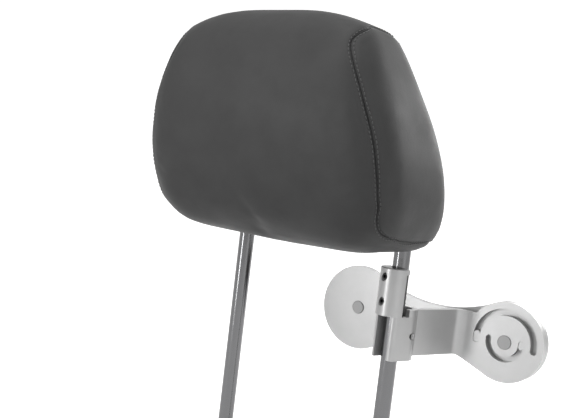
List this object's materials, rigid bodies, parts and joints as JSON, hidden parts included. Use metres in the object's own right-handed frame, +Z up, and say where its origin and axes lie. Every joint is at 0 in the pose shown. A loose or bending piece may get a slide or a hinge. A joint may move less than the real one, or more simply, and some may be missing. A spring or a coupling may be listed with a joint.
{
  "type": "chair headrest with swing-arm bracket",
  "caption": "Leather headrest cushion on chromed posts, with a clamp and a folding two-part swing arm that ends in a round mounting plate.",
  "frame": {"origin": "midway between the two posts at the height of the seat top", "axes": "+X towards the post that carries the clamp, -Y towards the sitter, +Z up the posts"},
  "size_m": [0.3095, 0.209, 0.439],
  "materials": {
    "leather": "satin",
    "foam": "matte",
    "chrome": "polished",
    "steel": "satin",
    "bracket": "satin",
    "bracket_pin": "satin",
    "black_steel": "satin",
    "zinc": "satin",
    "nylon": "matte"
  },
  "bodies": {
    "headrest": {"left_post": "chrome", "right_post": "chrome", "upper_cross_tube": "steel", "lower_cross_plate": "steel", "armature_plate": "steel", "armature_rivets": "steel", "foam_core": "foam", "cover_front_panel": "leather", "cover_left_side": "leather", "cover_right_side": "leather", "cover_back_panel": "leather"},
    "sleeve": {"post_sleeve": "nylon"},
    "clamp": {"clamp_body": "bracket", "clamp_set_screws": "black_steel", "screw_tips": "nylon", "front_arm": "bracket", "elbow_pivot_pin": "bracket_pin", "elbow_spring_washer": "zinc", "elbow_lock_nut": "zinc", "elbow_friction_washer": "nylon"},
    "swing_arm": {"rear_arm": "bracket", "outer_stop_key": "bracket", "inner_stop_key": "bracket", "end_pivot_pin": "bracket_pin", "end_spring_washer": "zinc", "end_lock_nut": "zinc", "end_friction_washer": "nylon"},
    "device_plate": {"mounting_plate": "bracket"}
  },
  "joints": [
    {"name": "post_slide", "type": "slide", "parent": "headrest", "child": "sleeve", "axis": [0, 0, 1], "range_m": [-0.019, 0.01]},
    {"name": "clamp_swivel", "type": "hinge", "parent": "sleeve", "child": "clamp", "pos_m": [0.082, 0, 0.05], "axis": [0, 0, 1], "range_deg": [-60, 30]},
    {"name": "elbow_hinge", "type": "hinge", "parent": "clamp", "child": "swing_arm", "pos_m": [0.1549, 0.0675, 0.0423], "axis": [0, 1, 0], "range_deg": [0, 180]},
    {"name": "end_pivot", "type": "hinge", "parent": "swing_arm", "child": "device_plate", "pos_m": [0.007, 0.075, 0.0423], "axis": [0, 1, 0], "range_deg": [-90, 90]}
  ]
}
